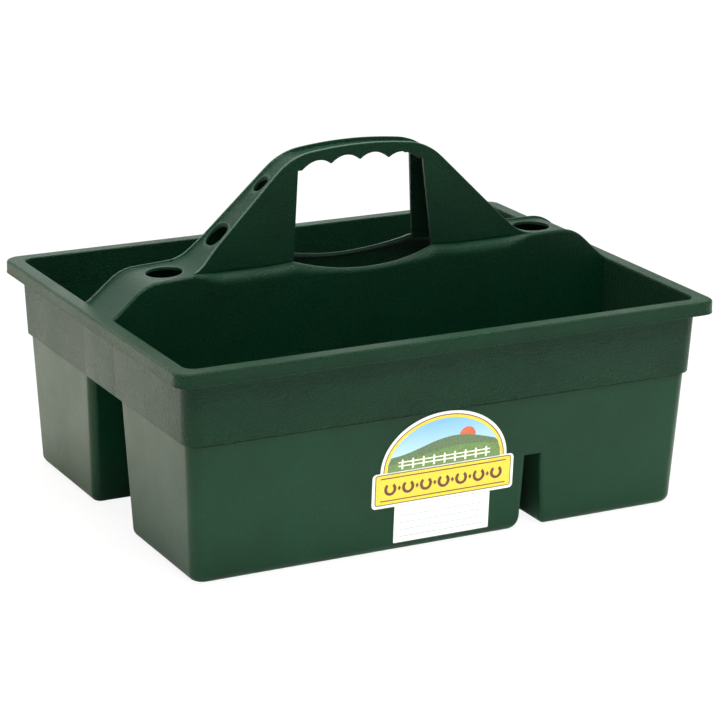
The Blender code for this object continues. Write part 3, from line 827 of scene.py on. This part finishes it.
def half_section(x, wall_x, in_opening, row_x):
    """Rows of one half of the skin at x, from the step up to the middle of the strip."""
    # A station leans with the opening's side, so the height of its top is found by rounds
    top = profile_height(x)
    for _ in range(3):
        top = profile_height(row_x(x, top))
    foot_line = crease_line(wall_x)
    wall_top = min(profile_height(wall_x), dish_height(wall_x) if in_opening else foot_line)
    radius = wall_edge_radius(wall_x)
    start = wall_top - radius
    centre = divider_outer(start) - radius
    rows = []
    for i in range(WALL_ROWS):
        z = STEP_HEIGHT + (start - STEP_HEIGHT) * i / WALL_ROWS
        rows.append((wall_x, divider_outer(z), z))
    for angle in quarter(ROUND_ROWS - 1):
        rows.append((wall_x, centre + radius * cos(angle), start + radius * sin(angle)))

    rise = max(top - CREASE_HEIGHT, 0.0)
    outer_x = max(abs(wall_x), opening_edge(CREASE_HEIGHT))
    wide = divider_outer(CREASE_HEIGHT) - wall_edge_radius(outer_x)
    low = min(top, foot_line)
    edge = min(PANEL_EDGE_RADIUS, rise)
    shoulder = top - edge

    def panel(z):
        share = (z - CREASE_HEIGHT) / (TOTAL_HEIGHT - CREASE_HEIGHT)
        return wide + (GRIP_HALF_WIDTH - wide) * max(share, 0.0)

    def add(y, z):
        rows.append((row_x(x, z), y, z))

    # The groove at the panel's foot, and the panel itself, whose rows follow the scallops
    grip_low = scallop_height(row_x(x, SCALLOP_END_HEIGHT))
    if not in_opening:
        edge_top = profile_height(OPENING_HALF_LENGTH) - PANEL_EDGE_RADIUS
        share = (SCALLOP_END_HEIGHT - CREASE_HEIGHT) / (edge_top - CREASE_HEIGHT)
        grip_low = low + share * (shoulder - low)
    groove = CREASE_GROOVE * eased((rise - GROOVE_START_RISE) / GROOVE_FADE)
    if groove < LEAST_GROOVE:
        groove = 0.0
    low_x = row_x(x, low)
    rows.append((low_x, panel(low) - groove, low))
    rows.append((low_x, panel(low) - groove, low + groove))
    rows.append((low_x, panel(low), low + GROOVE_TOP * groove))
    foot = low + PANEL_START * groove
    for i in range(LOWER_PANEL_ROWS):
        z = foot + (grip_low - foot) * i / (LOWER_PANEL_ROWS - 1)
        add(panel(z), z)
    for i in range(1, UPPER_PANEL_ROWS):
        z = grip_low + (shoulder - grip_low) * i / (UPPER_PANEL_ROWS - 1)
        add(panel(z), z)
    outer = panel(shoulder)
    for angle in quarter(EDGE_ROWS)[1:]:
        add(outer - edge * (1 - cos(angle)), shoulder + edge * sin(angle))

    # The bead's flat top, its inner side and the strip between the two beads, which lies
    # deeper along the grip
    sink = BEAD_HEIGHT + GRIP_STRIP_SINK * eased((BEND_X - abs(x)) / GRIP_STRIP_RUN_OUT)
    top_x = row_x(x, top)
    inner = outer - edge - (BEAD_WIDTH - PANEL_EDGE_RADIUS) * edge / PANEL_EDGE_RADIUS
    for across, drop in BEAD_SIDE:
        rows.append((top_x, inner - across * BEAD_HEIGHT, top - drop * sink))
    floor = inner - BEAD_SIDE[-1][0] * BEAD_HEIGHT
    for share in STRIP_ROWS:
        rows.append((top_x, floor * share, top - sink))
    return rows


def highlight_share_of_row(row, in_opening):
    """How pale a painted highlight one row of the half section gets: the dished edge and the
    beads get one.
    """
    if row == CREST_ROW:
        return DISH_EDGE_HIGHLIGHT if in_opening else 0.0
    return BEAD_HIGHLIGHT.get(row - BEAD_ROW, 0.0)


def handle_columns():
    """Stations along the tote as (x, wall x, in the opening, x of a row at a height)."""
    edge_top, edge_low = opening_edge(TOTAL_HEIGHT), opening_edge(CREASE_HEIGHT)
    narrowing = edge_top / opening_edge(SCALLOP_END_HEIGHT)
    count = SCALLOP_COUNT * SCALLOP_STEPS
    inside = [SCALLOP_REACH * (2 * i / count - 1) + SCALLOP_CENTRE for i in range(count + 1)]
    inside = [-edge_top] + [x * narrowing for x in inside] + [edge_top]

    def over_opening(at, z):
        return at * opening_edge(z) / edge_top

    middle = [(x, x / edge_top * edge_low, True, over_opening) for x in inside]

    outside = [p.x for p in LEFT_PROFILE if p.x > edge_low + OPENING_CLEARANCE]
    breaks = (edge_low, SLOPE_BREAK, FOOT_X - FOOT_BREAKS[0], FOOT_X + FOOT_BREAKS[1],
              RIM_INNER_X)
    for a, b in zip(breaks, breaks[1:]):
        steps = max(int((b - a) / STATION_SPACING), 2)
        outside += [a + (b - a) * (i + 1) / steps for i in range(steps)]
    outside = sorted(x for x in outside if x <= RIM_INNER_X + SAME_POINT)
    kept = [outside[0]]
    for x in outside[1:]:
        if x - kept[-1] > LEAST_SPACING:
            kept.append(x)

    def leaning(at, z):
        fade = max(1 - (abs(at) - edge_low) / LEAN_RUN, 0.0)
        lean = opening_edge(max(z, CREASE_HEIGHT)) - edge_low
        return copysign(abs(at) + fade * lean, at)

    right = [(x, x, False, leaning) for x in kept]
    left = [(-x, -x, False, leaning) for x in reversed(kept)]
    return left + middle + right


def make_handle(material):
    """The skin of the divider and the handle, with its hand opening and its tool holes."""
    piece = begin_piece("handle_and_divider")
    bm = bmesh.from_edit_mesh(piece.data)
    # A layer for the painted highlight on the beads and the dished edge
    painted_highlight = bm.verts.layers.float.new(PAINTED_HIGHLIGHT)
    columns = handle_columns()
    grid = []
    for x, wall_x, in_opening, row_x in columns:
        half = half_section(x, wall_x, in_opening, row_x)
        section = [(px, -py, pz) for px, py, pz in half] + half[-2::-1]
        points = []
        for row, (px, py, pz) in enumerate(section):
            reach = HALF_LENGTH - WALL / 2 - upper_inset(min(pz, RIM_HEIGHT))
            if abs(px) >= RIM_INNER_X - TOUCHING:
                px = copysign(reach, px)
            point = bm.verts.new((px, py, pz))
            # Each row takes its share of the painted highlight
            half_row = min(row, len(section) - 1 - row)
            point[painted_highlight] = highlight_share_of_row(half_row, in_opening)
            points.append(point)
        grid.append(points)
    last = len(grid[0]) - 1
    for (a, b), (first, second) in zip(zip(columns, columns[1:]), zip(grid, grid[1:])):
        for row in range(last):
            half_row = min(row, last - 1 - row)
            if not (a[2] and b[2] and CREST_ROW <= half_row < SCALLOP_ROW):
                bm.faces.new((first[row], second[row], second[row + 1], first[row + 1]))
    bmesh.ops.remove_doubles(bm, verts=bm.verts, dist=2 * TOUCHING)
    bmesh.ops.recalc_face_normals(bm, faces=bm.faces)
    bmesh.update_edit_mesh(piece.data)
    bpy.ops.mesh.select_all(action="SELECT")
    bpy.ops.mesh.delete_loose()
    close_mesh(piece)
    top_face = max(piece.data.polygons, key=lambda f: f.center.z)
    if top_face.normal.z < 0:
        piece.data.flip_normals()
    give_thickness(piece)
    for end, shoulder_hole in ((-1, LEFT_SHOULDER_HOLE), (1, RIGHT_SHOULDER_HOLE)):
        for from_foot, half_length, half_width in (shoulder_hole, SLOPE_HOLE, TOP_HOLE):
            cut_tool_hole(piece, end * (FOOT_X + from_foot), half_length, half_width)
    merge_slivers(piece)
    replaced = ["front_divider_wall", "rear_divider_wall", "left_tool_rest", "right_tool_rest",
                "left_handle_arm", "right_handle_arm", "grip"]
    finish_moulding(piece, material, replaced)


def merge_slivers(piece):
    """Merge the hair-thin faces that cutting leaves where a hole's edge passes a corner."""
    take_in_hand(piece)
    bpy.ops.object.mode_set(mode="EDIT")
    select_all("VERT")
    bpy.ops.mesh.remove_doubles(threshold=SLIVER)
    bpy.ops.mesh.dissolve_degenerate(threshold=SLIVER)
    bpy.ops.object.mode_set(mode="OBJECT")


def cut_tool_hole(piece, centre, half_length, half_width):
    """Cut one hole straight down, as the mould's core pulls out, and round its lip."""
    ends = [profile_height(centre - half_length), profile_height(centre + half_length)]
    low = min(ends) - HOLE_CORE_REACH
    high = max(ends) + HOLE_CORE_REACH
    square = 2.0 if half_length == half_width else HOLE_SQUARENESS
    bpy.ops.object.select_all(action="DESELECT")
    bpy.ops.mesh.primitive_cylinder_add(vertices=HOLE_STEPS, radius=1.0, depth=high - low,
                                        location=(centre, 0.0, (low + high) / 2))
    core = bpy.context.object
    for vertex in core.data.vertices:
        angle = atan2(vertex.co.y, vertex.co.x)
        x, y = cos(angle), sin(angle)
        vertex.co.x = half_length * copysign(abs(x) ** (2 / square), x)
        vertex.co.y = half_width * copysign(abs(y) ** (2 / square), y)
    apply_modifier(piece, "BOOLEAN", operation="DIFFERENCE", solver="EXACT", object=core)
    bpy.data.objects.remove(core, do_unlink=True)

    def from_core(point):
        x, y = abs(point.x - centre) / half_length, abs(point.y) / half_width
        return (x ** square + y ** square) ** (1 / square) - 1

    def near_top(point):
        return point.z - profile_height(point.x) > -HOLE_LIP_DEPTH

    def on_lip(edge):
        return (len(edge.link_faces) == 2 and edge.calc_face_angle(0.0) > HOLE_LIP_ANGLE
                and all(abs(from_core(v.co)) < ON_CORE and near_top(v.co) for v in edge.verts))

    enter_edit_mode(piece)
    select_where("EDGE", lambda e, n: on_lip(e))
    bpy.ops.mesh.bevel(affect="EDGES", offset=HOLE_LIP_RADIUS, segments=3, clamp_overlap=True)
    # The lip gets a painted highlight, a pale colour where it would catch the light
    bm = bmesh.from_edit_mesh(piece.data)
    painted_highlight = bm.verts.layers.float[PAINTED_HIGHLIGHT]
    for vertex in bm.verts:
        away = from_core(vertex.co) * half_length / HOLE_LIP_RADIUS
        if HOLE_LIP_SPAN[0] < away < HOLE_LIP_SPAN[1] and near_top(vertex.co):
            vertex[painted_highlight] = HOLE_LIP_HIGHLIGHT
    bmesh.update_edit_mesh(piece.data)
    leave_edit_mode(piece)


# Labels

def on_front(x, z, stand_off):
    """A point on the front bin's drafted face."""
    return Vector((LABEL_CENTRE + x, -(HALF_WIDTH - lower_inset(z)) - stand_off, z))


def arc(half, rise, first, last, steps):
    """Points along part of an ellipse, between two angles in degrees."""
    angles = [radians(first + (last - first) * i / steps) for i in range(steps + 1)]
    return [(half * cos(angle), rise * sin(angle)) for angle in angles]


def placed(shape, x, z):
    """A shape's points, moved to a place."""
    return [(x + across, z + up) for across, up in shape]


def in_a_row(shape, count, spacing, z):
    """The same shape several times, centred along the label."""
    return [placed(shape, spacing * (i - (count - 1) / 2), z) for i in range(count)]


def rounded_strip(half, low, high, radius):
    """Points round a strip with round corners, anticlockwise from its low right corner."""
    end, bottom, top = half - radius, low + radius, high - radius
    points = []
    for x, z, start in ((end, bottom, -90), (end, top, 0), (-end, top, 90), (-end, bottom, 180)):
        corner = arc(radius, radius, start, start + 90, STRIP_CORNER_STEPS)
        points += placed(corner, x, z)
    return points


def arch_points(half, rise):
    """Points over an arch that stands on the band, from right to left."""
    return placed(arc(half, rise, 0, 180, ARCH_STEPS), 0.0, BAND_TOP)


def die_cut_outline():
    """The label's outline: an arch over a wider band."""
    band = rounded_strip(BAND_HALF_WIDTH, BAND_BOTTOM, BAND_TOP, BAND_CORNER_RADIUS)
    half = len(band) // 2
    return band[:half] + arch_points(ARCH_HALF_WIDTH, ARCH_RISE) + band[half:]


def add_inlay(sheet, points, level, ink):
    """Lay a flat shape on the sheet: level 0 is the paper, and the inks lie on it in order."""
    low, thickness = LABEL_STAND_OFF, LABEL_THICKNESS
    if level:
        low += LABEL_THICKNESS + (level - 1) * INK_THICKNESS
        thickness = INK_THICKNESS
    bm = bmesh.from_edit_mesh(sheet.data)
    lower = [bm.verts.new(on_front(x, z, low)) for x, z in points]
    upper = [bm.verts.new(on_front(x, z, low + thickness)) for x, z in points]
    faces = [bm.faces.new(lower), bm.faces.new(upper)]
    for i in range(len(points)):
        j = (i + 1) % len(points)
        faces.append(bm.faces.new((lower[i], lower[j], upper[j], upper[i])))
    bmesh.ops.recalc_face_normals(bm, faces=faces)
    for face in faces:
        face.material_index = ink
    bmesh.update_edit_mesh(sheet.data)


def make_label(name, replaced, layers, papers):
    """A flat label of printed layers, each an ink and its shapes, on the paper as the first."""
    sheet = begin_piece(name)
    for level, (ink, shapes) in enumerate(layers):
        for points in shapes:
            add_inlay(sheet, points, level, ink)
    leave_edit_mode(sheet)
    for paper in papers:
        sheet.data.materials.append(paper)
    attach(sheet, "root")
    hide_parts(replaced)


def hill(half, rise, height, swing, waves, phase):
    """Ground under a skyline, kept inside the arch."""
    foot, reach, gap = HILL_FOOT * half, HILL_REACH * half, HILL_GAP
    points = [(foot, BAND_TOP)]
    for i in range(HILL_STEPS + 1):
        x = reach * (1 - 2 * i / HILL_STEPS)
        inside = BAND_TOP + rise * sqrt(1 - (x / half) ** 2) - gap
        points.append((x, min(BAND_TOP + height + swing * sin(waves * x + phase), inside)))
    return points + [(-foot, BAND_TOP)]


def horseshoe():
    """A plain horseshoe shape with its opening at the top."""
    outer = arc(HORSESHOE_RADIUS, HORSESHOE_RADIUS, *HORSESHOE_ENDS, HORSESHOE_STEPS)
    narrow, short = HORSESHOE_INSIDE
    return outer + [(narrow * x, short * z) for x, z in reversed(outer)]


def make_picture_label(papers):
    """A die-cut label: hills, a sun and a paddock fence in the arch, horseshoes on the band."""
    white, yellow, brown, sky, far_green, near_green, sun, rail = range(8)
    layers = [(white, [die_cut_outline()])]
    half, rise = ARCH_HALF_WIDTH, ARCH_RISE
    for ink, border in ((brown, DIE_CUT_BORDER), (yellow, PRINTED_LINE), (sky, ARCH_FRAME)):
        half -= border
        rise -= border
        layers.append((ink, [arch_points(half, rise)]))
    disc = arc(SUN_RADIUS, SUN_RADIUS, 0, 360, SUN_STEPS)[:-1]
    layers += [(sun, [placed(disc, SUN_X, BAND_TOP + SUN_Z)]),
               (far_green, [hill(half, rise, *FAR_HILL)]),
               (near_green, [hill(half, rise, *NEAR_HILL)]),
               (rail, [placed(RAIL, 0.0, BAND_TOP + height) for height in RAIL_HEIGHTS]),
               (rail, in_a_row(POST, *POST_ROW, BAND_TOP))]

    half = BAND_HALF_WIDTH - DIE_CUT_BORDER
    low, high = BAND_BOTTOM + DIE_CUT_BORDER, BAND_TOP - BAND_TOP_BORDER
    middle = (low + high) / 2
    motifs = [rounded_strip(half - STRIPE_END, z, z + STRIPE_WIDTH, STRIPE_CORNER_RADIUS)
              for z in (low + STRIPES_SET_IN[0], high - STRIPES_SET_IN[1])]
    motifs += in_a_row(horseshoe(), *HORSESHOE_ROW, middle + HORSESHOE_LIFT)
    motifs += in_a_row(DIAMOND, *DIAMOND_ROW, middle)
    outer, inner = BAND_CORNER_RADII
    line = BAND_LINE
    layers += [(brown, [rounded_strip(half, low, high, outer)]),
               (yellow, [rounded_strip(half - line, low + line, high - line, inner)]),
               (brown, motifs)]
    make_label("die_cut_label", "picture_label", layers, papers)


def make_ticket_label(papers):
    """A plain ticket with ruled lines to write on."""
    white, grey = range(2)
    half = TICKET_HALF_WIDTH - RULED_LINE_END
    heights = [TICKET_BOTTOM + height for height in RULED_LINE_HEIGHTS]
    layers = [(white, [rounded_strip(TICKET_HALF_WIDTH, TICKET_BOTTOM,
                                     BAND_BOTTOM - LABEL_STAND_OFF, TICKET_CORNER_RADIUS)]),
              (grey, [rounded_strip(half, z, z + RULED_LINE_WIDTH, RULED_LINE_CORNER_RADIUS)
                      for z in heights])]
    make_label("ruled_ticket", "ticket_label", layers, papers)


# The tote

# Each plastic: depth of its grain, share of dark specks, mirror level, how dusty it looks and,
# on the handle, how pale the painted highlight on its edges is
make_rim(moulded_polyethylene("dusty_grained_green_polyethylene", 0.0010, 0.8, 0.14, 0.11))
make_upper_wall(moulded_polyethylene("grained_green_polyethylene", 0.0010, 0.8, 0.14, 0.05))
smoother_green = moulded_polyethylene("smoother_green_polyethylene", 0.0002, 0.4, 0.17, 0.08)
make_bin(-1, smoother_green)
make_bin(1, smoother_green)
make_handle(moulded_polyethylene("handled_green_polyethylene", 0.0006, 0.7, 0.17, 0.0, 0.30))

coated_white = label_paper("coated_white_paper", "f1f2ef")
make_picture_label([
    coated_white,
    printed_ink("warm_yellow_ink", "dfbf30", "ecce3c"),
    printed_ink("red_brown_ink", "4e1e12", "662c1c"),
    sky_ink(),
    printed_ink("far_green_ink", "43583a", "667c50"),
    printed_ink("near_green_ink", "526f38", "728f4c"),
    printed_ink("orange_red_ink", "c2502c", "d9683a"),
    printed_ink("cream_ink", "efe9d2", "f8f4e4")])
make_ticket_label([coated_white, printed_ink("grey_ink", "8f9396", "a9adaf")])


# Floor, light and camera

# How much of the floor the camera sees as plain white, and how bright the room is
FLOOR_SEEN_WHITE = 0.90
ROOM_STRENGTH = 0.41
# Softboxes: name, place, the point that each faces, size, power in watts, colour if it isn't
# white and spread if it has a grid
SOFTBOXES = (
    ("top_softbox", (0.0, 0.0, 2.2), (0.0, 0.0, 0.1), (1.2, 1.0), 44.0),
    ("back_softbox", (0.0, 0.9, 2.0), (0.0, 0.1, 0.1), (1.6, 1.4), 24.0),
    ("front_softbox", (-0.2, -0.9, 2.0), (0.0, 0.0, 0.1), (1.2, 1.0), 24.0),
    ("backdrop_softbox", (0.2, 2.6, 0.6), (0.0, 0.0, 0.2), (3.2, 1.0), 15.0),
    ("left_table_softbox", (-0.45, 0.28, 0.8), (-0.45, 0.28, 0.0), (0.35, 0.5), 0.54, "ffdf9a",
     40.0),
    ("front_table_softbox", (0.1, -0.62, 0.8), (0.05, -0.20, 0.0), (0.7, 0.1), 0.4, "eefff6",
     25.0))
# The photograph's camera: its width in pixels, its focal length in pixels, and in degrees how
# far it turns from the Y axis, looks down and leans
PICTURE_WIDTH = 717
FOCAL_LENGTH = 2851.58
FILM_WIDTH = 36.0
CAMERA_PLACE = (-0.8874, -1.71547, 0.69379)
CAMERA_TURN, CAMERA_LOOKS_DOWN, CAMERA_LEAN = -27.491, 17.306, 0.694


def pale_floor():
    """Matt white card: it keeps a trace of the tote's shadow, and the camera sees it as white."""
    material, tree, shader, place = new_material("matt_white_card", "f4f4f2", 0.9, 1.45)
    fibres = noise(tree, place, 300.0, 2.0)
    feed(shader, {"Base Color": colour_steps(tree, fibres, ((0.3, "f2f2f0"), (0.7, "f6f6f4"))),
                  "Specular IOR Level": 0.1})
    white = node(tree, "Emission", {"Color": (1.0, 1.0, 1.0, 1.0), "Strength": 1.0})
    path = node(tree, "LightPath", {})
    seen = node(tree, "Math", {0: path.outputs["Is Camera Ray"], 1: FLOOR_SEEN_WHITE},
                operation="MULTIPLY")
    mixed = node(tree, "MixShader", {"Fac": seen.outputs["Value"], 1: shader.outputs["BSDF"],
                                     2: white.outputs["Emission"]})
    feed(tree.nodes["Material Output"], {"Surface": mixed.outputs["Shader"]})
    return material


def add_floor():
    bpy.ops.object.select_all(action="DESELECT")
    bpy.ops.mesh.primitive_plane_add(size=16.0, location=(0.0, 0.0, 0.0))
    floor = bpy.context.object
    floor.name = "studio_floor"
    floor.data.materials.append(pale_floor())


def add_softbox(name, place, target, size, power, colour="ffffff", spread=180.0):
    """A rectangular softbox that faces a point; a grid on it narrows its spread, in degrees."""
    lamp = bpy.data.lights.new(name, "AREA")
    lamp.shape = "RECTANGLE"
    lamp.size, lamp.size_y = size
    lamp.spread = radians(spread)
    lamp.energy = power
    lamp.color = linear(colour)[:3]
    softbox = add_object(name, lamp)
    softbox.location = place
    aim = Vector(target) - Vector(place)
    softbox.rotation_euler = aim.to_track_quat("-Z", "Y").to_euler()


def light_studio():
    """A dim room that the camera sees as white, and softboxes above, behind and at the table."""
    world = bpy.data.worlds.new("studio")
    bpy.context.scene.world = world
    world.use_nodes = True
    tree = world.node_tree
    tree.nodes.clear()
    path = node(tree, "LightPath", {})
    mixed = node(tree, "MixShader", {"Fac": path.outputs["Is Camera Ray"]})
    for socket, strength in ((1, ROOM_STRENGTH), (2, 1.0)):
        light = node(tree, "Background", {"Color": (1.0, 1.0, 1.0, 1.0), "Strength": strength})
        feed(mixed, {socket: light.outputs["Background"]})
    node(tree, "OutputWorld", {"Surface": mixed.outputs["Shader"]})
    for softbox in SOFTBOXES:
        add_softbox(*softbox)


def place_camera():
    """The photograph's view."""
    lens = bpy.data.cameras.new("photo_camera")
    lens.sensor_fit = "HORIZONTAL"
    lens.sensor_width = FILM_WIDTH
    lens.lens = FOCAL_LENGTH / PICTURE_WIDTH * FILM_WIDTH
    lens.clip_start = 0.1
    lens.clip_end = 50.0
    camera = add_object("photo_camera", lens)
    turn = (Matrix.Rotation(radians(CAMERA_TURN), 4, "Z")
            @ Matrix.Rotation(radians(90 - CAMERA_LOOKS_DOWN), 4, "X")
            @ Matrix.Rotation(radians(CAMERA_LEAN), 4, "Z"))
    camera.matrix_world = Matrix.Translation(CAMERA_PLACE) @ turn
    bpy.context.scene.camera = camera


add_floor()
light_studio()
place_camera()
bpy.context.scene.view_settings.view_transform = "Standard"
